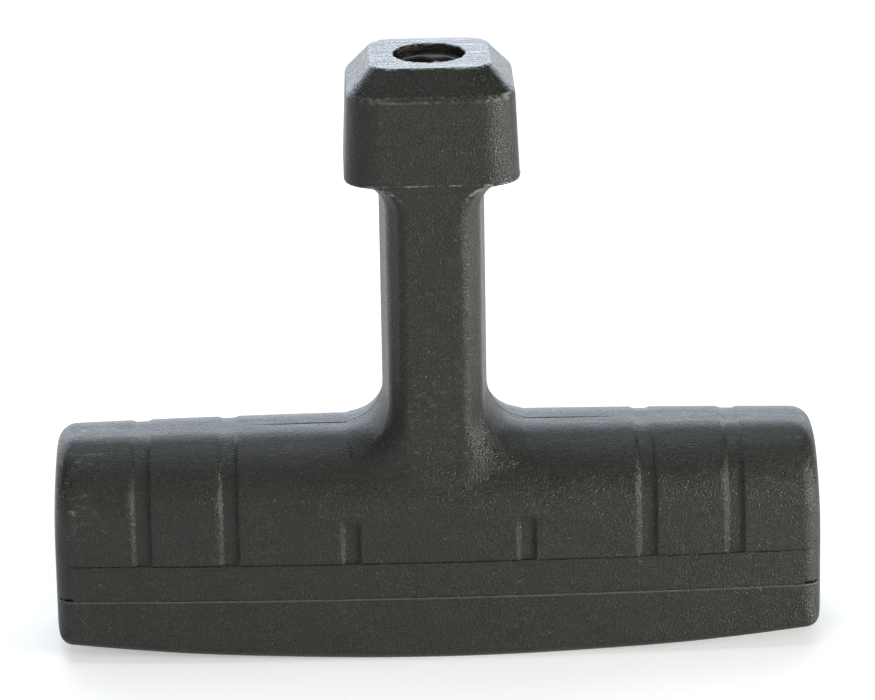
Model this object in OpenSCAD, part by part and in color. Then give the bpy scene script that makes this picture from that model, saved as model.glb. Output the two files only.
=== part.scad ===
// Pull handle of a recoil starter: a T-shaped grip with a rope hole in its head.
// Frame: the origin is the lowest point of the palm cover, under the rope's axis. +Z runs up
// the stem to the head and +X along the crossbar. The handle is symmetric about x = 0 and y = 0.

/* [Crossbar] */
// Length of the crossbar
bar_l = 90.8; // [86:0.2:96]
// Depth of the crossbar at its middle, front to back
bar_d = 22.8; // [21.6:0.2:24]
// Height of the crossbar at its middle
bar_h = 26.1; // [25.5:0.1:27]
// Radius of the front and back faces, seen from above
bow_r = 735; // [600:5:1200]
// Radius of the palm side, seen from the front
palm_r = 415; // [350:5:800]
// Height of the rounded top above the upright faces
crown_h = 8.1; // [7:0.1:8.4]
// Half width of the flat strip along the crossbar's top
crest_flat = 1.6; // [1.5:0.1:2]
// Radius of the crossbar's ends, seen from above
end_r = 48; // [28:1:60]

/* [Grip pattern] */
// Depth of the channel and of the grooves
groove_depth = 0.3; // [0.2:0.05:0.6]
// How far the palm cover stands out past the channel
cover_step = 0.15; // [0:0.05:0.2]
// Width of a groove
groove_w = 1.9; // [1.2:0.1:2.5]
// Distance from the rope's axis to the first pair of long grooves
groove_x1 = 24.5; // [22:0.1:25.5]
// Distance from the rope's axis to the second pair of long grooves
groove_x2 = 34.8; // [32:0.1:38]
// Distance from the rope's axis to the short grooves
groove_x0 = 10.3; // [9:0.1:14]
// Height of the short grooves above the channel
short_groove_h = 5.4; // [3:0.1:5.6]
// Height of the channel
channel_h = 4.4; // [3:0.1:5]
// Height of the joint between body and cover, at the channel's lower edge
joint_z = 7.9; // [7.2:0.1:8.4]

/* [Stem and head] */
// Width of the stem, side to side
stem_w = 12.2; // [11.4:0.1:14]
// Depth of the stem, front to back
stem_d = 18.2; // [16:0.1:18.6]
// Width of the flat on the stem's front and back
stem_flat_w = 6.5; // [4:0.1:8]
// Width of the stem where its drafted sides meet the bevels
stem_edge_w = 10.9; // [9:0.1:11.4]
// Depth of the stem's drafted sides, front to back
stem_edge_d = 12.6; // [10:0.1:14]
// Radius between the stem's sides and the crossbar
stem_fillet = 4.5; // [3:0.1:4.8]
// Flare of the stem under the head
stem_flare = 1.6; // [0.8:0.1:1.8]
// Height of the whole handle
total_h = 71.1; // [66:0.1:76]
// Height of the head
head_h = 13.1; // [12.4:0.1:15]
// Width of the head at its lower edge, side to side
head_w = 20.6; // [20:0.1:22]
// Depth of the head at its lower edge, front to back
head_d = 19; // [18.8:0.1:20]
// Width of the head under the chamfer
head_neck_w = 19.7; // [19:0.1:20]
// Depth of the head under the chamfer
head_neck_d = 18.6; // [18.2:0.1:18.8]
// Width of the head's top face
head_top_w = 13.8; // [12.8:0.1:14.5]
// Depth of the head's top face
head_top_d = 13.4; // [12.6:0.1:14.5]
// Height of the chamfer round the head's top
head_chamfer_h = 3.1; // [2:0.1:4]
// Corner radius of the head, seen from above
head_corner_r = 5.3; // [4:0.1:6]
// Corner radius of the head's top face
head_top_corner_r = 2.6; // [2:0.1:3.5]

/* [Rope path] */
// Diameter of the hole in the head that holds the bush
mouth_d = 8.3; // [8:0.1:9]
// Bore of the bush
bush_bore_d = 5.8; // [5.4:0.1:6]
// Length of the bush
bush_l = 12; // [9:0.5:13]
// Depth of the bush below the head's top face
bush_sink = 1.1; // [0.6:0.1:2]
// Rounding of the bush's mouth
bush_lip_r = 1.1; // [0.6:0.1:1.1]
// Diameter of the rope bore in the stem
rope_bore_d = 6.4; // [6.2:0.1:6.8]
// Diameter of the knot pocket
pocket_d = 16; // [15:0.1:16.5]
// Height of the seat that the washer bears on
seat_z = 19.2; // [18:0.1:19.6]
// Outer diameter of the washer
washer_d = 13; // [11:0.1:14]
// Hole of the washer
washer_hole_d = 5.3; // [5:0.1:5.6]
// Thickness of the washer
washer_t = 1.2; // [0.8:0.1:1.6]

/* [Walls] */
// Wall of the crossbar
wall = 2.8; // [2.6:0.1:3.2]
// Wall and floor of the palm cover
cover_wall = 2.3; // [1.8:0.1:2.5]
// Thickness of the cover's tongue
tongue_t = 1.4; // [1:0.1:1.6]
// Height of the cover's tongue
tongue_h = 3.4; // [2.5:0.1:4]
// Gap round the tongue
tongue_gap = 0.1; // [0.1:0.05:0.2]
// Height of the thick rim below the tongue
cover_rim_h = 2.4; // [1.6:0.1:3]
// Thickness of the rib across each side of the crossbar's hollow
rib_t = 1.8; // [1.2:0.1:2.4]
// Distance from the rope's axis to each rib
rib_x = 26.6; // [24:0.1:30]

/* [Hidden] */

nylon_colour = [0.14, 0.14, 0.135];
cover_colour = [0.12, 0.12, 0.115];
acetal_colour = [0.2, 0.2, 0.205];
zinc_colour = [0.74, 0.75, 0.77];

round_fn = 96;
bow_fn = 720;
hull_fn = 32;
crown_steps = 10;
sweep = 8;                     // degrees of the bow that the crossbar's sides take up
press = 0.03;                  // interference of the bush in the head, on the radius
far = 60;                      // further out than any face of the crossbar

spring_z = bar_h - crown_h;    // where the upright faces start to round over
channel_top = joint_z + channel_h;
rib_z = joint_z + tongue_h + 1;    // underside of the ribs, clear of the cover's tongue
block_x = 11;                  // half length of the solid block round the knot pocket
head_z = total_h - head_h;
chamfer_z = total_h - head_chamfer_h;
bush_top = total_h - bush_sink;
bush_z = bush_top - bush_l;
bush_foot = 0.5;               // chamfer inside the bush's lower end
flare_reach = (head_d - stem_d) / 2 - 0.1;    // how far the flare comes forward, short of the head
slice = 0.01;                  // thickness of the thin plates that a hull joins

// A box from its lowest corner to its highest.
module box(low, high) {
    translate(low) cube(high - low);
}

// A rectangle with round corners, centred on the origin.
module round_rect(size, radius) {
    flat = size - 2 * [radius, radius];
    square([size.x, flat.y], center = true);
    square([flat.x, size.y], center = true);
    for (sx = [-1, 1], sy = [-1, 1])
        translate([sx * flat.x, sy * flat.y] / 2) circle(radius);
}

// One long side of the crossbar, swept round a far upright axis: an upright face, then a
// quarter of an ellipse up to the flat strip along the top.
module long_side(inset) {
    face = bow_r - inset;
    core = bow_r - bar_d;
    span = bar_d / 2 - crest_flat - inset;
    rise = crown_h - inset;
    translate([0, bow_r - bar_d / 2, 0])
        rotate(-90 - sweep / 2)
        rotate_extrude(angle = sweep, $fn = bow_fn)
        polygon([
            [core, 0],
            [face, 0],
            for (i = [0:crown_steps])
                let (a = 90 * i / crown_steps)
                [face - span * (1 - cos(a)), spring_z + rise * sin(a)],
            [core, bar_h - inset]
        ]);
}

// All that lies inside the crossbar's right end, which bows round an upright axis.
module bar_end(inset) {
    centre_x = bar_l / 2 - end_r;
    translate([centre_x, 0, 0]) cylinder(r = end_r - inset, h = bar_h, $fn = bow_fn);
    box([-far, inset - end_r, 0], [centre_x, end_r - inset, bar_h]);
}

// The crossbar's outer form, with every face moved inwards by inset.
module bar_form(inset = 0, palm_inset = 0) {
    intersection() {
        long_side(inset);
        mirror([0, 1, 0]) long_side(inset);
        bar_end(inset);
        mirror([1, 0, 0]) bar_end(inset);
        translate([0, 0, palm_r])
            rotate([90, 0, 0])
            cylinder(r = palm_r - palm_inset, h = 2 * bar_d, center = true, $fn = bow_fn);
    }
}

// What the channel and the grooves take out of the crossbar's skin.
module pattern() {
    box([-far, -far, joint_z], [far, far, channel_top]);
    for (side = [-1, 1]) {
        for (x = [groove_x1, groove_x2])
            translate([side * x, 0, 0])
            box([-groove_w / 2, -far, channel_top - 1], [groove_w / 2, far, far]);
        translate([side * groove_x0, 0, 0])
            box([-groove_w / 2, -far, channel_top - 1],
                [groove_w / 2, far, channel_top + short_groove_h]);
    }
}

// The crossbar above the joint, with its raised panels, still solid.
module upper_bar() {
    intersection() {
        union() {
            bar_form(groove_depth);
            difference() {
                bar_form();
                pattern();
            }
        }
        box([-far, -far, joint_z], [far, far, far]);
    }
}

// The hollow of the crossbar: open from below, with a rib across the upper part of each side.
module bar_hollow() {
    intersection() {
        bar_form(wall);
        difference() {
            box([-far, -far, 0], [far, far, far]);
            box([-block_x, -far, rib_z], [block_x, far, far]);
            for (side = [-1, 1])
                translate([side * rib_x, 0, 0])
                    box([-rib_t / 2, -far, rib_z], [rib_t / 2, far, far]);
        }
    }
}

// Section of the stem: flat front and back, bevelled edges and sides drafted from the middle.
module stem_section(grow = 0) {
    quarter = [
        [stem_w, 0] / 2,
        [stem_edge_w, stem_edge_d] / 2,
        [stem_flat_w, stem_d] / 2
    ];
    right = [for (p = quarter) p + [grow, p.y > 0 ? min(grow, flare_reach) : 0]];
    front = [for (i = [2:-1:1]) [right[i].x, -right[i].y]];
    half = concat(front, right);
    polygon(concat(half, [for (p = half) -p]));
}

// Stem with its fillets on the crossbar and its flare under the head.
module stem() {
    fillet_top = bar_h + stem_fillet - 0.6;
    reach = stem_w / 2 + stem_fillet;
    translate([0, 0, spring_z])
        linear_extrude(head_z + 1 - spring_z)
        stem_section();
    difference() {
        box([-reach, 0.4 - stem_edge_d / 2, spring_z + 1],
            [reach, stem_edge_d / 2 - 0.4, fillet_top]);
        for (side = [-1, 1])
            translate([side * reach, 0, fillet_top])
            rotate([90, 0, 0])
            cylinder(r = stem_fillet, h = stem_d, center = true, $fn = round_fn);
    }
    hull() {
        translate([0, 0, head_z - stem_flare])
            linear_extrude(slice)
            stem_section(-slice);
        translate([0, 0, head_z])
            linear_extrude(2 * slice)
            stem_section(stem_flare);
    }
}

// Head: a rounded block that narrows a little upwards, with a wide chamfer round its top.
module head() {
    hull() {
        translate([0, 0, head_z])
            linear_extrude(slice) round_rect([head_w, head_d], head_corner_r, $fn = hull_fn);
        translate([0, 0, chamfer_z])
            linear_extrude(slice)
            round_rect([head_neck_w, head_neck_d], head_corner_r, $fn = hull_fn);
        translate([0, 0, total_h - slice])
            linear_extrude(slice)
            round_rect([head_top_w, head_top_d], head_top_corner_r, $fn = hull_fn);
    }
}

// The rope's way through the handle, from the knot pocket up to the mouth in the head.
module rope_way() {
    $fn = round_fn;
    cylinder(d = pocket_d, h = seat_z);
    cylinder(d = rope_bore_d, h = total_h);
    translate([0, 0, bush_z]) cylinder(d = mouth_d, h = total_h);
}

module grip_body() {
    color(nylon_colour)
        difference() {
            union() {
                upper_bar();
                stem();
                head();
            }
            bar_hollow();
            rope_way();
        }
}

// A ring that follows the crossbar's form, between two insets and two heights.
module bar_ring(outside, inside, low, high) {
    intersection() {
        difference() {
            bar_form(outside);
            bar_form(inside, cover_wall);
        }
        box([-far, -far, low], [far, far, high]);
    }
}

module palm_cover() {
    rim_z = joint_z - cover_rim_h;
    tongue_outside = wall + tongue_gap;
    tongue_inside = tongue_outside + tongue_t;
    color(cover_colour) {
        bar_ring(groove_depth - cover_step, cover_wall, -1, joint_z);
        bar_ring(cover_wall / 2, tongue_inside, rim_z, joint_z);
        bar_ring(tongue_outside, tongue_inside, rim_z, joint_z + tongue_h);
    }
}

module rope_bush() {
    bore_r = bush_bore_d / 2;
    outer_r = mouth_d / 2 + press;
    lip_steps = 8;
    color(acetal_colour)
        translate([0, 0, bush_z])
        rotate_extrude($fn = round_fn)
        polygon([
            [bore_r + bush_foot, 0],
            [outer_r, 0],
            [outer_r, bush_l],
            for (i = [0:lip_steps])
                let (a = 90 * i / lip_steps)
                [bore_r + bush_lip_r * (1 - sin(a)), bush_l - bush_lip_r * (1 - cos(a))],
            [bore_r, bush_foot]
        ]);
}

module knot_washer() {
    color(zinc_colour)
        translate([0, 0, seat_z - washer_t])
        linear_extrude(washer_t)
        difference() {
            circle(d = washer_d, $fn = round_fn);
            circle(d = washer_hole_d, $fn = round_fn);
        }
}

grip_body();
palm_cover();
rope_bush();
knot_washer();
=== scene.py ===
"""Looks of a recoil starter's pull handle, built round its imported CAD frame."""

import math

import bpy
import numpy as np
from mathutils import Matrix, Vector


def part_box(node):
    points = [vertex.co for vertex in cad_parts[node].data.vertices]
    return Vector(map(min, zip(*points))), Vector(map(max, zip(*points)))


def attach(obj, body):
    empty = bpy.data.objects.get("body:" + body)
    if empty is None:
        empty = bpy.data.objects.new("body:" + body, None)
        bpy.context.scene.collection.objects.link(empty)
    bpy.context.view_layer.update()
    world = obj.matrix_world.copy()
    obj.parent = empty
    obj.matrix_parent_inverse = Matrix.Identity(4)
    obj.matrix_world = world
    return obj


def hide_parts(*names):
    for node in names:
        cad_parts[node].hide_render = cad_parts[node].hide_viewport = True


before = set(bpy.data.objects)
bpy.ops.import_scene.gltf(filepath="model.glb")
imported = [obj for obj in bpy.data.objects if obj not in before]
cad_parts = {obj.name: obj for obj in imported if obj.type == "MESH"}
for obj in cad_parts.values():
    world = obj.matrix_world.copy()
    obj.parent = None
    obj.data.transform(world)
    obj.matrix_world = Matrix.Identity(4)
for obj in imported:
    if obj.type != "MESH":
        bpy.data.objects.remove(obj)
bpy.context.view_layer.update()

# ---------------------------------------------------------------- sizes, in millimetres
MM = 0.001
BODY_LOW, BODY_HIGH = (np.array(corner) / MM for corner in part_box("grip_body"))
COVER_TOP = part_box("palm_cover")[1].z / MM  # top of the cover's tongue
BUSH_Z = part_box("rope_bush")[0].z / MM  # lower end of the bush

HALF_L = BODY_HIGH[0]  # half the crossbar's length
HALF_D = BODY_HIGH[1]  # half its depth, at the middle
TOTAL_H = BODY_HIGH[2]
JOINT_Z = BODY_LOW[2]  # where the palm cover meets the body

BAR_H = 26.1
CREST_DROP = 0.5  # how much lower the crossbar's top is at its ends
CREST_FLAT = 1.7  # half width of the flat strip along its top
SPRING_Z = 18.0  # where the upright faces start to round over
BOW_R = 735.0  # front and back faces, seen from above
PALM_R = 415.0  # palm side, seen from the front
END_R = 90.0  # the ends, seen from above
END_LEAN = 0.9  # how far the ends lean in towards the top
END_LEAN_Z = 13.0  # where they start to lean
END_EDGE_R = 1.95  # between the front and the end faces
LOW_END_EDGE_R = 1.45  # the same, near the palm side
PALM_EDGE_R = 0.9  # between the front and the palm side, at the ends
MIDDLE_PALM_EDGE_R = 1.35  # the same, at the middle

GROOVE_DEPTH = 0.3  # the channel along the lower edge
FLUTE_DEPTH = 0.4  # the upright grooves
CREVICE_DEPTH = 0.2  # fine line where the panels end at the channel
CREVICE_W = 0.1  # its half width
GROOVE_W = 1.9
GROOVE_WALL = 0.7  # width of a groove's sloping wall
LONG_GROOVES = (24.5, 34.8)  # distances from the rope's axis
SHORT_GROOVE = 10.3
SHORT_GROOVE_TOP = 17.6
CHANNEL_TOP = JOINT_Z + 4.4
CHANNEL_STEP = 0.08  # half height of the step up to the panels
JOINT_LIFT = 0.004  # hair's breadth between the body's rim and the cover
COVER_INSET = 0.22  # from the panels' face to the cover's
COVER_EDGE_R = 0.06
JOINT_HIGHLIGHT_H = 0.22  # height of the painted highlight: a paler band just under the joint, where the cover's top edge would catch the light
WALL = 2.8  # of the body
COVER_WALL = 2.3
COVER_RIM_H = 2.4  # thicker rim that carries the tongue
TONGUE_T = 1.4
TONGUE_GAP = 0.1  # between the tongue and the body's wall

STEM_W = 12.35
STEM_D = 18.2
STEM_FLAT_W = 7.5
STEM_EDGE_W = 10.9
STEM_EDGE_D = 13.6
STEM_FRONT_EDGE_R = 0.6  # between the flat front and the bevels
STEM_SIDE_EDGE_R = 0.4  # between the bevels and the sides
STEM_FILLET = 5.2  # the stem's sides and bevels sweep out into the crossbar
STEM_FRONT_FILLET = 3.2  # between the stem's front and the crossbar
STEM_SIDE_FILLET = 1.0  # the same at its sides, which are swept already
FLARE_R = 3.7  # cove that widens the stem under the head
FLARE_REACH = 0.35  # how far the stem's front comes forward there

HEAD_Z = TOTAL_H - 13.5
CHAMFER_Z = TOTAL_H - 3.1
HEAD_FOOT = (10.2, 9.5)  # half width and half depth at the lower edge, under the chamfer and on top
HEAD_NECK = (9.75, 9.3)
HEAD_TOP = (6.9, 6.7)
HEAD_CORNER_R = 4.1
HEAD_TOP_CORNER_R = 2.6
HEAD_FOOT_EDGE_R = 0.22
HEAD_CHAMFER_EDGE_R = 0.3
HEAD_TOP_EDGE_R = 0.12
NIB_R = 0.22  # nib of flash on the head's lower edge
NIB_Y = 4.4
SEAM_DEPTH = 0.14  # witness line of the mould's two halves
SEAM_W = 0.08  # its half width
SEAM_REACH = (12.0, 24.0)  # it fades out between these distances along the crossbar

MOUTH_R = 4.15  # the hole that the bush is pressed into
ROPE_BORE_R = 3.2
POCKET_R = 8.0  # the pocket for the rope's knot
SEAT_Z = 19.2  # its roof, where the washer sits
RIB_Z = COVER_TOP + 1.0  # underside of the ribs
BLOCK_X = 11.0  # half length of the solid block round the pocket
RIB_X = 26.6
RIB_T = 1.8


# ---------------------------------------------------------------- distance fields
def smooth(low, high, t):
    """0 below low, 1 above high, and smooth between them."""
    u = np.clip((t - low) / (high - low), 0.0, 1.0)
    return u * u * (3.0 - 2.0 * u)


def both(a, b, radius):
    """What lies inside a and b, with the edge between them rounded."""
    ea = np.maximum(a + radius, 0.0)
    eb = np.maximum(b + radius, 0.0)
    return np.minimum(np.maximum(a, b), -radius) + np.hypot(ea, eb)


def either(a, b, radius):
    """What lies inside a or b, with a fillet between them."""
    return -both(-a, -b, radius)


def without(a, b, radius):
    """What lies inside a and outside b, with the edge between them rounded."""
    return both(a, -b, radius)


def slab(t, low, high, radius):
    """What lies between low and high."""
    return both(low - t, t - high, radius)


def bar_half_depth(x):
    """Half depth of the crossbar at a distance along it."""
    return HALF_D - x * x / (2.0 * BOW_R)


def end_x(y, z):
    """Half length of the crossbar at a depth and a height."""
    bow = END_R - np.sqrt(END_R**2 - np.clip(y, -14.0, 14.0) ** 2)
    lean = END_LEAN * np.clip((z - END_LEAN_Z) / (BAR_H - END_LEAN_Z), 0.0, 1.2) ** 2
    return HALF_L - bow - lean


def bar_form(x, y, z, inset=0.0, palm_inset=0.0, round_end=1.0, skin=0.0):
    """The crossbar's outer form.

    inset moves every face but the palm side inwards, palm_inset the palm side, and skin the front, the
    back and the top. round_end scales the edges' radii.
    """
    span = bar_half_depth(x) - inset - CREST_FLAT
    rise = BAR_H - CREST_DROP * (x / HALF_L) ** 2 - inset - SPRING_Z
    ry = np.maximum(np.abs(y) - CREST_FLAT, 0.0) / span
    rz = np.maximum(z - SPRING_Z, 0.0) / rise
    k0 = np.hypot(ry, rz)
    k1 = np.hypot(ry / span, rz / rise)
    reach = np.where(k1 > 1e-6, k0 / np.maximum(k1, 1e-6), span)
    section = reach * (k0 - 1.0) + skin
    palm = x * x / (2.0 * PALM_R) + palm_inset - z
    under = PALM_EDGE_R + (MIDDLE_PALM_EDGE_R - PALM_EDGE_R) * smooth(32.0, 16.0, np.abs(x))
    form = both(section, palm, under * round_end)
    ends = np.abs(x) - end_x(y, z) + inset
    edge = END_EDGE_R - (END_EDGE_R - LOW_END_EDGE_R) * smooth(5.0, 2.5, z)
    return both(form, ends, edge * round_end)


def recess(x, z):
    """How deep the channel and the grooves lie below the raised panels."""
    ax = np.abs(x)
    half_w, half_wall = GROOVE_W / 2.0, GROOVE_WALL / 2.0
    crest = 1.0 - 0.5 * smooth(SPRING_Z, BAR_H - 1.0, z)
    channel = smooth(CHANNEL_TOP + CHANNEL_STEP, CHANNEL_TOP - CHANNEL_STEP, z)
    fade = smooth(SHORT_GROOVE_TOP + 0.7, SHORT_GROOVE_TOP - 0.9, z)
    depth = 0.0
    grooves = [(centre, crest) for centre in LONG_GROOVES] + [(SHORT_GROOVE, fade)]
    for centre, strength in grooves:
        groove = smooth(half_w + half_wall, half_w - half_wall, np.abs(ax - centre))
        depth = np.maximum(depth, strength * groove)
    crevice = CREVICE_DEPTH * np.exp(-(((z - CHANNEL_TOP) / CREVICE_W) ** 2)) * (1.0 - depth)
    crevice = crevice * smooth(HALF_L - 1.4, HALF_L - 2.6, ax)
    return np.maximum(GROOVE_DEPTH * channel, FLUTE_DEPTH * depth * (1.0 - channel)) + crevice


def rounded_rect(x, y, half, corner):
    """A rectangle on the rope's axis, seen from above. half is its half width and half depth."""
    qx = np.abs(x) - half[0] + corner
    qy = np.abs(y) - half[1] + corner
    out = np.hypot(np.maximum(qx, 0.0), np.maximum(qy, 0.0))
    return np.minimum(np.maximum(qx, qy), 0.0) + out - corner


def between(low, high, t):
    """Half width and half depth a share t of the way from low to high."""
    return [a + (b - a) * t for a, b in zip(low, high)]


def crest_z(y):
    """Height of the crossbar's top at a depth, at its middle."""
    share = np.clip((np.abs(y) - CREST_FLAT) / (HALF_D - CREST_FLAT), 0.0, 1.0)
    return SPRING_Z + (BAR_H - SPRING_Z) * np.sqrt(1.0 - share**2)


def stem_form(x, y, z):
    """Stem: flat front and back, bevelled edges, drafted sides, and a cove at either end."""
    ax, ay = np.abs(x), np.abs(y)
    climb = np.clip(z - HEAD_Z + FLARE_R, 0.0, 0.999 * FLARE_R)
    flare = FLARE_R - np.sqrt(FLARE_R**2 - climb**2)
    fall = np.clip(crest_z(y) + STEM_FILLET - z, 0.0, 0.98 * STEM_FILLET)
    sweep = STEM_FILLET - np.sqrt(STEM_FILLET**2 - fall**2)
    draft = (STEM_W - STEM_EDGE_W) / STEM_EDGE_D
    sides = (ax - STEM_W / 2.0 + draft * ay) / math.hypot(1.0, draft) - flare - sweep
    across = Vector((STEM_EDGE_W - STEM_FLAT_W, STEM_EDGE_D - STEM_D)) / 2.0
    normal = Vector((-across.y, across.x)).normalized()
    bevel = (ax - STEM_EDGE_W / 2.0) * normal.x + (ay - STEM_EDGE_D / 2.0) * normal.y
    bevel = bevel - 0.9 * flare - 1.05 * sweep
    front = ay - STEM_D / 2.0 - FLARE_REACH * (climb / FLARE_R) ** 2
    section = both(both(front, bevel, STEM_FRONT_EDGE_R), sides, STEM_SIDE_EDGE_R)
    section = both(section, rounded_rect(x, y, HEAD_FOOT, HEAD_CORNER_R), 0.3)
    return both(section, slab(z, 12.0, HEAD_Z + 0.2, 0.1), 0.1)


def head_form(x, y, z):
    """Head: a rounded block, narrowing a little upwards, with a wide chamfer on top."""
    low = np.clip((CHAMFER_Z - z) / (CHAMFER_Z - HEAD_Z), 0.0, 1.0)
    high = np.clip((z - CHAMFER_Z) / (TOTAL_H - CHAMFER_Z), 0.0, 1.2)
    corner = HEAD_CORNER_R + (HEAD_TOP_CORNER_R - HEAD_CORNER_R) * np.clip(high, 0.0, 1.0)
    sides = rounded_rect(x, y, between(HEAD_NECK, HEAD_FOOT, low), HEAD_CORNER_R)
    slope = (HEAD_NECK[0] - HEAD_TOP[0]) / (TOTAL_H - CHAMFER_Z)
    past = np.maximum(CHAMFER_Z - z, 0.0) * slope
    chamfer = rounded_rect(x, y, between(HEAD_NECK, HEAD_TOP, high), corner) - past
    form = both(sides, chamfer / math.hypot(1.0, slope), HEAD_CHAMFER_EDGE_R)
    return both(both(form, HEAD_Z - z, HEAD_FOOT_EDGE_R), z - TOTAL_H, HEAD_TOP_EDGE_R)


def stem_root(x, z):
    """Radius of the fillet round the stem's foot: wide at its front, narrow round its swept sides."""
    radius = STEM_SIDE_FILLET + (STEM_FRONT_FILLET - STEM_SIDE_FILLET) * smooth(7.0, 3.0, np.abs(x))
    return 0.2 + (radius - 0.2) * smooth(SPRING_Z, SPRING_Z + 5.0, z)


def nib(x, y, z):
    """The nib of flash on the head's lower edge."""
    return np.sqrt((x - HEAD_FOOT[0]) ** 2 + (y + NIB_Y) ** 2 + (z - HEAD_Z - 0.2) ** 2) - NIB_R


def seam(x, y, z):
    """How deep the mould's witness line lies: on the stem, and fading out along the crossbar."""
    shown = smooth(HEAD_Z - 1.0, HEAD_Z - 3.0, z) * smooth(SEAM_REACH[1], SEAM_REACH[0], np.abs(x))
    return SEAM_DEPTH * np.exp(-((y / SEAM_W) ** 2)) * shown


def bar_hollow(x, y, z):
    """The crossbar's inside, round the middle block and the ribs."""
    inner = bar_form(x, y, z, WALL, WALL, 0.5)
    block = both(slab(x, -BLOCK_X, BLOCK_X, 0.4), RIB_Z - z, 0.4)
    rib = both(slab(np.abs(x), RIB_X - RIB_T / 2.0, RIB_X + RIB_T / 2.0, 0.3), RIB_Z - z, 0.3)
    return without(without(inner, block, 0.5), rib, 0.5)


def bore(x, y, z, radius, low, high):
    """An upright round hole on the rope's axis."""
    return both(np.hypot(x, y) - radius, slab(z, low, high, 0.01), 0.01)


def body_field(x, y, z):
    """The main moulding: crossbar, stem and head, cored out from below and bored for the rope."""
    bar = bar_form(x, y, z, skin=recess(x, z))
    grip = either(bar, stem_form(x, y, z), stem_root(x, z))
    grip = either(either(grip, head_form(x, y, z), 0.1), nib(x, y, z), 0.15)
    grip = grip + seam(x, y, z)
    grip = both(grip, JOINT_Z + JOINT_LIFT - z, 0.006)
    grip = without(grip, bar_hollow(x, y, z), 0.15)
    grip = without(grip, bore(x, y, z, POCKET_R, -1.0, SEAT_Z), 0.2)
    grip = without(grip, bore(x, y, z, ROPE_BORE_R, 0.0, TOTAL_H), 0.2)
    return without(grip, bore(x, y, z, MOUTH_R, BUSH_Z, TOTAL_H + 2.0), 0.12)


def cover_field(x, y, z):
    """The palm cover: a shell with a thicker rim, and a tongue that goes inside the body."""
    outer = both(bar_form(x, y, z, skin=COVER_INSET), z - JOINT_Z, COVER_EDGE_R)
    shell = without(outer, bar_form(x, y, z, COVER_WALL, COVER_WALL, 0.8), 0.1)
    inside = bar_form(x, y, z, WALL + TONGUE_GAP + TONGUE_T, COVER_WALL, 0.4)
    rim = bar_form(x, y, z, COVER_WALL / 2.0, 0.0)
    rim = both(rim, slab(z, JOINT_Z - COVER_RIM_H, JOINT_Z, 0.05), 0.05)
    tongue = bar_form(x, y, z, WALL + TONGUE_GAP, 0.0)
    tongue = both(tongue, slab(z, JOINT_Z - COVER_RIM_H, COVER_TOP, 0.3), 0.3)
    lip = without(either(rim, tongue, 0.05), inside, 0.3)
    return either(shell, lip, 0.25)


# ---------------------------------------------------------------- meshing
def spaced(low, high, step, fine):
    """Rising coordinates from low to high, closer together round each (centre, reach, step)."""
    marks = [low]
    while marks[-1] < high:
        here = marks[-1]
        near = [s for c, reach, s in fine if c - reach <= here < c + reach]
        ahead = [c - reach - here for c, reach, _ in fine if here < c - reach]
        marks.append(here + max(min([step, *near, *ahead]), 0.01))
    return np.array(marks)


CORNERS = [(i, j, k) for i in (0, 1) for j in (0, 1) for k in (0, 1)]
EDGES = [
    (a, b)
    for a in range(8)
    for b in range(a + 1, 8)
    if sum(p != q for p, q in zip(CORNERS[a], CORNERS[b])) == 1
]


def sample(field, xs, ys, zs, chunk=24):
    """The field at every grid point, a few slices at a time."""
    parts = [
        field(xs[i : i + chunk, None, None], ys[None, :, None], zs[None, None, :])
        for i in range(0, len(xs), chunk)
    ]
    return np.concatenate(parts).astype(np.float32)


def cell_points(values, xs, ys, zs):
    """One point for each cell that the surface crosses, and the cells' numbers."""
    inside = values < 0
    shape = [n - 1 for n in values.shape]
    count = np.zeros(shape, np.uint8)
    for i, j, k in CORNERS:
        count += inside[i : i + shape[0], j : j + shape[1], k : k + shape[2]]
    cells = np.argwhere((count > 0) & (count < 8))
    corner_values = [values[cells[:, 0] + i, cells[:, 1] + j, cells[:, 2] + k] for i, j, k in CORNERS]
    corner_points = [
        np.stack([xs[cells[:, 0] + i], ys[cells[:, 1] + j], zs[cells[:, 2] + k]], 1)
        for i, j, k in CORNERS
    ]
    total = np.zeros((len(cells), 3))
    hits = np.zeros(len(cells))
    for a, b in EDGES:
        crossed = (corner_values[a] < 0) != (corner_values[b] < 0)
        gap = np.where(crossed, corner_values[a] - corner_values[b], 1.0)
        t = np.where(crossed, corner_values[a] / gap, 0.0)[:, None]
        total += np.where(crossed[:, None], corner_points[a] * (1 - t) + corner_points[b] * t, 0.0)
        hits += crossed
    return cells, total / hits[:, None], inside


def cell_quads(cells, inside):
    """Four cells round each grid edge that the surface crosses."""
    number = np.full([n - 1 for n in inside.shape], -1, np.int64)
    number[tuple(cells.T)] = np.arange(len(cells))
    quads = []
    for axis in range(3):
        u, v = (axis + 1) % 3, (axis + 2) % 3
        start = np.moveaxis(inside, (axis, u, v), (0, 1, 2))
        grid = np.moveaxis(number, (axis, u, v), (0, 1, 2))
        change = start[:-1, 1:-1, 1:-1] != start[1:, 1:-1, 1:-1]
        i, j, k = np.nonzero(change)
        ring = [grid[i, j, k], grid[i, j + 1, k], grid[i, j + 1, k + 1], grid[i, j, k + 1]]
        quad = np.stack(ring, 1)
        outward = start[i, j + 1, k + 1]
        quads.append(np.where(outward[:, None], quad, quad[:, ::-1]))
    return np.concatenate(quads)


def gradient(field, p, step=0.01):
    """How the field changes along x, y and z at each point."""
    columns = []
    for axis in range(3):
        shift = np.zeros(3)
        shift[axis] = step
        columns.append((field(*(p + shift).T) - field(*(p - shift).T)) / (2 * step))
    return np.stack(columns, 1)


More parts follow.
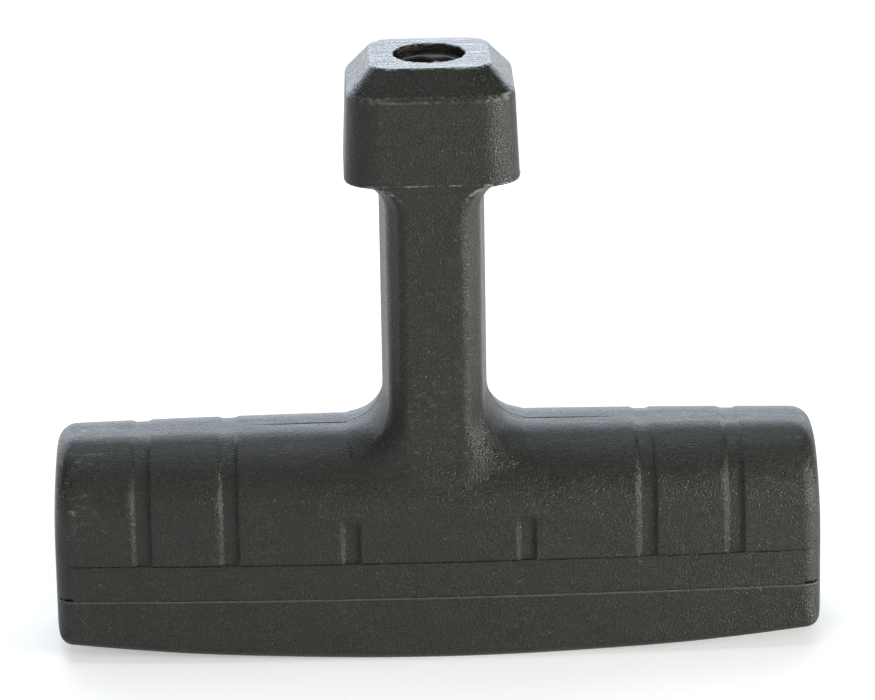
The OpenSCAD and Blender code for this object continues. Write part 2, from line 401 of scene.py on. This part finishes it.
def settle(field, p, rounds=4):
    """Moves the points onto the surface, and gives its normals there."""
    for _ in range(rounds):
        g = gradient(field, p)
        steepness = np.maximum((g * g).sum(1), 0.05)
        move = (field(*p.T) / steepness)[:, None] * g
        p = p - np.clip(move, -0.15, 0.15)
    g = gradient(field, p, 0.02)
    return p, g / np.maximum(np.linalg.norm(g, axis=1), 1e-9)[:, None]


def sharpness(field, p, normal, reach=0.22):
    """Above 0 on outward edges and corners, below 0 in hollows, near 0 on flats."""
    helper = np.where(np.abs(normal[:, :1]) < 0.9, [[1.0, 0.0, 0.0]], [[0.0, 1.0, 0.0]])
    u = np.cross(normal, helper)
    u /= np.linalg.norm(u, axis=1)[:, None]
    v = np.cross(normal, u)
    here = field(*p.T)
    bend = sum(field(*(p + reach * d).T) - here for d in (u, -u, v, -v))
    return bend / reach


def rubbed_zone(p):
    """Where edges wear: all round the head, and high up on the crossbar's ends."""
    head = smooth(HEAD_Z - 4.0, HEAD_Z - 2.0, p[:, 2])
    ends = smooth(HALF_L - 3.5, HALF_L - 1.5, np.abs(p[:, 0])) * smooth(14.0, 18.0, p[:, 2])
    return head + ends


def scuffed_zone(p):
    """Where the crossbar's upper ends have been knocked: more at the left than at the right."""
    left = smooth(37.0, 44.5, -p[:, 0]) * smooth(12.0, 23.0, p[:, 2])
    right = smooth(41.0, 44.8, p[:, 0]) * smooth(15.0, 22.0, p[:, 2])
    crest = smooth(BAR_H - 3.0, BAR_H - 0.5, p[:, 2]) * smooth(HEAD_Z, BAR_H + 6.0, p[:, 2])
    return left + 0.45 * right + 0.3 * crest


def solid(name, field, grid):
    """A smooth closed mesh of a distance field, with its edge wear stored on its points."""
    xs, ys, zs = grid
    cells, points, inside = cell_points(sample(field, xs, ys, zs), xs, ys, zs)
    quads = cell_quads(cells, inside)
    points, normals = settle(field, points)
    mesh = bpy.data.meshes.new(name)
    mesh.from_pydata((points * MM).tolist(), [], quads.tolist())
    mesh.update()
    edge = mesh.attributes.new("edge", "FLOAT", "POINT")
    worn = sharpness(field, points, normals) * rubbed_zone(points)
    edge.data.foreach_set("value", worn.astype(np.float32))
    scuffed = mesh.attributes.new("scuffed", "FLOAT", "POINT")
    scuffed.data.foreach_set("value", scuffed_zone(points).astype(np.float32))
    mesh.shade_smooth()
    mesh.normals_split_custom_set_from_vertices(normals.tolist())
    piece = bpy.data.objects.new(name, mesh)
    bpy.context.scene.collection.objects.link(piece)
    return piece


def groove_edges():
    """Fine steps across both walls of every upright groove."""
    centres = [*LONG_GROOVES, SHORT_GROOVE]
    walls = [c + side * GROOVE_W / 2.0 for c in centres for side in (-1, 1)]
    return [(sign * w, 0.35, 0.2) for w in walls for sign in (-1, 1)]


def mirrored(*fine):
    """Fine zones at both signs of their centre."""
    return [(sign * c, reach, step) for c, reach, step in fine for sign in (-1, 1)]


def body_grid():
    xs = spaced(
        -HALF_L - 0.4,
        HALF_L + 0.4,
        1.1,
        [*groove_edges(), *mirrored((HALF_L - 1.2, 1.6, 0.25)), (0.0, HEAD_FOOT[0] + 0.4, 0.38)],
    )
    ys = spaced(
        -HALF_D - 0.3,
        HALF_D + 0.3,
        0.6,
        [(0.0, 0.2, 0.05), *mirrored((HEAD_TOP[1], 0.6, 0.25), (HALF_D - 0.75, 0.8, 0.08))],
    )
    zs = spaced(
        JOINT_Z - 0.3,
        TOTAL_H + 0.3,
        0.7,
        [
            (JOINT_Z, 0.09, 0.03),
            (CHANNEL_TOP, 0.25, 0.06),
            (RIB_Z, 0.6, 0.3),
            (BAR_H - 2.0, 2.4, 0.32),
            (HEAD_Z, 0.6, 0.15),
            (CHAMFER_Z, 0.5, 0.15),
            (TOTAL_H - 0.1, 0.3, 0.08),
        ],
    )
    return xs, ys, zs


def cover_grid():
    xs = spaced(-HALF_L - 0.4, HALF_L + 0.4, 0.6, mirrored((HALF_L - 1.0, 1.4, 0.15)))
    faces = mirrored((HALF_D - 3.0, 2.0, 0.2), (HALF_D - 0.75, 0.8, 0.08))
    ys = spaced(-HALF_D - 0.3, HALF_D + 0.3, 0.4, faces)
    zs = spaced(
        -0.35,
        COVER_TOP + 0.35,
        0.25,
        [(JOINT_Z - 0.03, 0.09, 0.02), (COVER_TOP, 0.3, 0.1)],
    )
    return xs, ys, zs


# ---------------------------------------------------------------- materials
GRAIN_SIZE = 0.22  # the moulding's grain, in millimetres
WIPE_TURN = math.radians(35.0)  # run of the fine wiping marks on the head's polished top
DARK_NYLON = (0.002, 0.0022, 0.001)
LIGHT_NYLON = (0.0155, 0.017, 0.0115)
GLASS_SPARKLE = (0.1, 0.102, 0.085)
PALE_FLECK = (0.2, 0.2, 0.18)
# pale colour of rubbed edges, and of the painted highlight along the cover's joint
RUBBED_AND_HIGHLIGHT_NYLON = (0.26, 0.26, 0.25)
SCUFFED_NYLON = (0.24, 0.24, 0.24)
NYLON_IOR = 1.4
DARK_ACETAL = (0.022, 0.02, 0.018)
LIGHT_ACETAL = (0.045, 0.041, 0.037)
ZINC = (0.55, 0.56, 0.58)
ZINC_BLOOM = (0.72, 0.72, 0.7)
PAPER = (0.86, 0.86, 0.86)
PALE_PAPER = (0.88, 0.88, 0.88)


class Nodes:
    """Short ways to add and join shader nodes."""

    def __init__(self, material):
        material.use_nodes = True
        self.tree = material.node_tree
        self.tree.nodes.clear()
        self.shader = self.add("ShaderNodeBsdfPrincipled")
        out = self.add("ShaderNodeOutputMaterial")
        self.link(self.shader.outputs["BSDF"], out.inputs["Surface"])
        self.place = self.add("ShaderNodeTexCoord").outputs["Object"]

    def add(self, kind, **settings):
        node = self.tree.nodes.new(kind)
        for name, value in settings.items():
            setattr(node, name, value)
        return node

    def link(self, source, target):
        self.tree.links.new(source, target)

    def noise(self, size_mm, detail=2.0, roughness=0.5, stretch=(1.0, 1.0, 1.0), turn=0.0):
        """Noise with features of about size_mm, drawn out where stretch is under 1."""
        mapping = self.add("ShaderNodeMapping")
        mapping.inputs["Scale"].default_value = stretch
        mapping.inputs["Rotation"].default_value = (0.0, 0.0, turn)
        self.link(self.place, mapping.inputs["Vector"])
        node = self.add("ShaderNodeTexNoise")
        node.inputs["Scale"].default_value = 1.0 / (size_mm * MM)
        node.inputs["Detail"].default_value = detail
        node.inputs["Roughness"].default_value = roughness
        self.link(mapping.outputs["Vector"], node.inputs["Vector"])
        return node.outputs["Fac"]

    def fit(self, value, low, high, to_low=0.0, to_high=1.0):
        """value taken from low..high to to_low..to_high, and kept there."""
        node = self.add("ShaderNodeMapRange", clamp=True)
        self.link(value, node.inputs["Value"])
        for name, number in zip(("From Min", "From Max", "To Min", "To Max"), (low, high, to_low, to_high)):
            node.inputs[name].default_value = number
        return node.outputs["Result"]

    def math(self, operation, a, b):
        node = self.add("ShaderNodeMath", operation=operation)
        for socket, value in zip(node.inputs, (a, b)):
            if isinstance(value, (int, float)):
                socket.default_value = value
            else:
                self.link(value, socket)
        return node.outputs["Value"]

    def mix(self, share, a, b):
        node = self.add("ShaderNodeMix", data_type="RGBA")
        self.link(share, node.inputs["Factor"])
        sockets = [s for s in node.inputs if s.type == "RGBA"]
        for socket, value in zip(sockets, (a, b)):
            if isinstance(value, tuple):
                socket.default_value = (*value, 1.0)
            else:
                self.link(value, socket)
        return next(s for s in node.outputs if s.type == "RGBA")

    def bump(self, height, distance_mm, under=None):
        node = self.add("ShaderNodeBump")
        node.inputs["Distance"].default_value = distance_mm * MM
        self.link(height, node.inputs["Height"])
        if under is not None:
            self.link(under, node.inputs["Normal"])
        return node.outputs["Normal"]


def moulded(n, grain, cloud, flow, sparkle):
    """The nylon's own colour: dark resin, lighter glass and a few pale flecks."""
    fleck = n.noise(0.33, 0.0)
    coarse = n.math("ADD", n.fit(cloud, 0.3, 0.7, 0.0, 0.14), n.fit(flow, 0.35, 0.65, 0.0, 0.16))
    colour = n.mix(n.math("ADD", n.fit(grain, 0.34, 0.66, 0.0, 0.7), coarse), DARK_NYLON, LIGHT_NYLON)
    colour = n.mix(n.fit(fleck, 0.87, 0.9, 0.0, 0.7), colour, PALE_FLECK)
    return n.mix(n.fit(sparkle, 0.58, 0.74, 0.0, 0.33), colour, GLASS_SPARKLE)


def aged(n, colour, height, rim_z):
    """The colour with rubbed edges, knocked ends, and a painted highlight: a pale band just under rim_z."""
    wear_and_highlight_breakup = n.noise(0.9, 4.0, 0.7)
    edge = n.add("ShaderNodeAttribute", attribute_name="edge").outputs["Fac"]
    rubbed = n.math("MULTIPLY", n.fit(edge, 0.12, 0.34), n.fit(wear_and_highlight_breakup, 0.46, 0.62))
    colour = n.mix(n.math("MULTIPLY", rubbed, 0.6), colour, RUBBED_AND_HIGHLIGHT_NYLON)
    zone = n.add("ShaderNodeAttribute", attribute_name="scuffed").outputs["Fac"]
    nicks = n.fit(n.noise(0.6, 4.0, 0.75, (0.5, 1.0, 1.0)), 0.56, 0.7)
    colour = n.mix(n.math("MULTIPLY", n.math("MULTIPLY", zone, nicks), 0.6), colour, SCUFFED_NYLON)
    # painted highlight: a pale band just under rim_z, where the cover's top edge would catch the light,
    # broken up by the same noise as the wear
    rim = n.fit(height, (rim_z - JOINT_HIGHLIGHT_H) * MM, (rim_z - 0.6 * JOINT_HIGHLIGHT_H) * MM, 0.0, 0.22)
    rim = n.math("MULTIPLY", rim, n.fit(height, rim_z * MM, (rim_z + 0.03) * MM, 1.0, 0.0))
    return n.mix(n.math("MULTIPLY", rim, n.fit(wear_and_highlight_breakup, 0.3, 0.6, 0.5, 1.0)), colour, RUBBED_AND_HIGHLIGHT_NYLON)


def satin(n, grain, flow, height, polished_above):
    """Roughness: satin, and smoother with wiping marks above polished_above."""
    rough = n.math("ADD", n.fit(grain, 0.3, 0.7, 0.25, 0.37), n.fit(flow, 0.35, 0.65, 0.0, 0.08))
    polish = n.fit(height, (polished_above - 0.3) * MM, (polished_above + 0.1) * MM)
    wiped = n.noise(0.5, 3.0, 0.65, (0.06, 1.0, 1.0), WIPE_TURN)
    shine = n.fit(wiped, 0.35, 0.65, 0.13, 0.26)
    return n.math("SUBTRACT", rough, n.math("MULTIPLY", polish, shine))


def nylon(name, polished_above=TOTAL_H + 1.0, rim_z=-1.0):
    """Black glass-filled nylon: satin, finely grained, paler where edges have rubbed, with a painted
    highlight just under rim_z.
    """
    material = bpy.data.materials.new(name)
    n = Nodes(material)
    grain = n.noise(GRAIN_SIZE, 2.0, 0.6)
    cloud = n.noise(5.0, 3.0, 0.55)
    flow = n.noise(0.55, 3.0, 0.6, (0.1, 1.0, 1.0))
    sparkle = n.noise(0.19, 1.0, 0.5)
    split = n.add("ShaderNodeSeparateXYZ")
    n.link(n.place, split.inputs["Vector"])
    height = split.outputs["Z"]
    colour = aged(n, moulded(n, grain, cloud, flow, sparkle), height, rim_z)
    n.link(colour, n.shader.inputs["Base Color"])
    n.link(satin(n, grain, flow, height, polished_above), n.shader.inputs["Roughness"])
    normal = n.bump(n.math("ADD", grain, n.math("MULTIPLY", sparkle, 0.8)), 0.12)
    normal = n.bump(flow, 0.02, normal)
    normal = n.bump(cloud, 0.1, normal)
    n.link(normal, n.shader.inputs["Normal"])
    n.shader.inputs["IOR"].default_value = NYLON_IOR
    return material


def acetal(name):
    """Smooth black lining of the rope hole, polished in rings by the rope."""
    material = bpy.data.materials.new(name)
    n = Nodes(material)
    rings = n.noise(0.6, 2.0, 0.5, (0.15, 0.15, 1.0))
    n.link(n.mix(n.fit(rings, 0.3, 0.7), DARK_ACETAL, LIGHT_ACETAL), n.shader.inputs["Base Color"])
    n.link(n.fit(rings, 0.3, 0.7, 0.16, 0.34), n.shader.inputs["Roughness"])
    n.link(n.bump(rings, 0.02), n.shader.inputs["Normal"])
    return material


def zinc(name):
    """Zinc-plated steel: dull metal with a faint turned grain and pale blooms."""
    material = bpy.data.materials.new(name)
    n = Nodes(material)
    bloom = n.noise(1.2, 3.0, 0.6)
    grain = n.noise(0.15, 2.0, 0.5)
    n.link(n.mix(n.fit(bloom, 0.35, 0.65), ZINC, ZINC_BLOOM), n.shader.inputs["Base Color"])
    n.link(n.fit(bloom, 0.3, 0.7, 0.28, 0.5), n.shader.inputs["Roughness"])
    n.link(n.bump(grain, 0.01), n.shader.inputs["Normal"])
    n.shader.inputs["Metallic"].default_value = 1.0
    return material


def dress(piece, material):
    """Puts one material on the whole piece."""
    if not piece.material_slots:
        piece.data.materials.append(material)
    for slot in piece.material_slots:
        slot.material = material


# ---------------------------------------------------------------- camera, lights and floor
CAMERA_DISTANCE = 0.6
CAMERA_ELEVATION = math.radians(15.35)
CAMERA_AZIMUTH = math.radians(-1.2)
CAMERA_ROLL = 0.0168  # radians
CAMERA_LENS = 213.1
SENSOR_W = 36.0
CAMERA_AIM = Vector((0.42, 0.0, 34.81)) * MM

COOL = (0.82, 0.9, 1.0)
WARM = (1.0, 0.99, 0.95)
ROOM = (0.97, 0.985, 1.0, 1.0)
ROOM_GLOW = 0.02
LIGHTS_AIM = Vector((0.0, 0.0, 0.035))
TABLE_HALF = 4.0
TABLE_GLOW = 0.36  # the table's own light


def add_camera():
    data = bpy.data.cameras.new("camera")
    camera = bpy.data.objects.new("camera", data)
    bpy.context.scene.collection.objects.link(camera)
    bpy.context.scene.camera = camera
    out = Vector(
        (
            math.sin(CAMERA_AZIMUTH) * math.cos(CAMERA_ELEVATION),
            -math.cos(CAMERA_AZIMUTH) * math.cos(CAMERA_ELEVATION),
            math.sin(CAMERA_ELEVATION),
        )
    )
    camera.location = Vector((0.0, 0.0, TOTAL_H * MM)) + CAMERA_DISTANCE * out
    look = CAMERA_AIM - camera.location
    turn = look.to_track_quat("-Z", "Y").to_matrix()
    camera.rotation_mode = "QUATERNION"
    camera.rotation_quaternion = (turn @ Matrix.Rotation(-CAMERA_ROLL, 3, "Z")).to_quaternion()
    data.sensor_width = SENSOR_W
    data.lens = CAMERA_LENS
    data.clip_start, data.clip_end = 0.05, 20.0


def panel(name, azimuth, elevation, distance, size, radiance, colour=(1.0, 1.0, 1.0)):
    """A soft box aimed at the handle. Azimuth 0 is in front of it, 90 at its right, in degrees."""
    width, height = size
    data = bpy.data.lights.new(name, "AREA")
    data.shape = "RECTANGLE"
    data.size, data.size_y = width, height
    data.energy = radiance * width * height * math.pi
    data.color = colour
    lamp = bpy.data.objects.new(name, data)
    bpy.context.scene.collection.objects.link(lamp)
    az, el = math.radians(azimuth), math.radians(elevation)
    out = Vector((math.sin(az) * math.cos(el), -math.cos(az) * math.cos(el), math.sin(el)))
    lamp.location = LIGHTS_AIM + distance * out
    lamp.rotation_mode = "QUATERNION"
    lamp.rotation_quaternion = (-out).to_track_quat("-Z", "Y")
    lamp.visible_camera = False
    return lamp


def add_lights():
    panel("key_right", 65.0, 4.7, 0.55, (0.08, 0.15), 120.0, WARM)
    panel("fill_left", -35.0, 24.0, 1.6, (0.67, 0.45), 7.5)
    panel("fill_front", 0.0, 9.0, 1.6, (0.67, 0.4), 3.0)
    panel("side_left", -100.0, 6.0, 1.6, (0.67, 0.45), 1.6)
    panel("backdrop_low", 186.0, 7.4, 1.6, (2.3, 0.44), 4.6, COOL)
    panel("backdrop_high", 180.0, 50.0, 1.6, (1.4, 1.5), 2.1, COOL)
    panel("overhead", -60.0, 80.0, 1.6, (1.1, 0.8), 2.4)
    world = bpy.data.worlds.new("studio")
    world.use_nodes = True
    background = world.node_tree.nodes["Background"]
    background.inputs["Color"].default_value = ROOM
    background.inputs["Strength"].default_value = ROOM_GLOW
    bpy.context.scene.world = world


def add_floor():
    """A pale matt light table."""
    half = TABLE_HALF
    mesh = bpy.data.meshes.new("floor")
    corners = [(-half, -half, 0), (half, -half, 0), (half, half, 0), (-half, half, 0)]
    mesh.from_pydata(corners, [], [(0, 1, 2, 3)])
    floor = bpy.data.objects.new("floor", mesh)
    bpy.context.scene.collection.objects.link(floor)
    material = bpy.data.materials.new("floor_paper")
    n = Nodes(material)
    n.link(n.mix(n.fit(n.noise(900.0), 0.3, 0.7), PAPER, PALE_PAPER), n.shader.inputs["Base Color"])
    n.shader.inputs["Roughness"].default_value = 0.9
    n.shader.inputs["Emission Color"].default_value = (1.0, 1.0, 1.0, 1.0)
    n.shader.inputs["Emission Strength"].default_value = TABLE_GLOW
    dress(floor, material)


# ---------------------------------------------------------------- the handle
def add_body():
    piece = solid("grip_body_moulding", body_field, body_grid())
    dress(piece, nylon("body_nylon", polished_above=CHAMFER_Z))
    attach(piece, "handle")
    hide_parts("grip_body")


def add_cover():
    piece = solid("palm_cover_moulding", cover_field, cover_grid())
    # the cover's nylon carries a painted highlight along its top edge at the joint
    dress(piece, nylon("cover_nylon", rim_z=JOINT_Z))
    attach(piece, "cover")
    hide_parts("palm_cover")


add_camera()
add_lights()
add_floor()
add_body()
add_cover()
dress(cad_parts["rope_bush"], acetal("bush_acetal"))
dress(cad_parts["knot_washer"], zinc("washer_zinc"))
bpy.context.scene.view_settings.view_transform = "Standard"
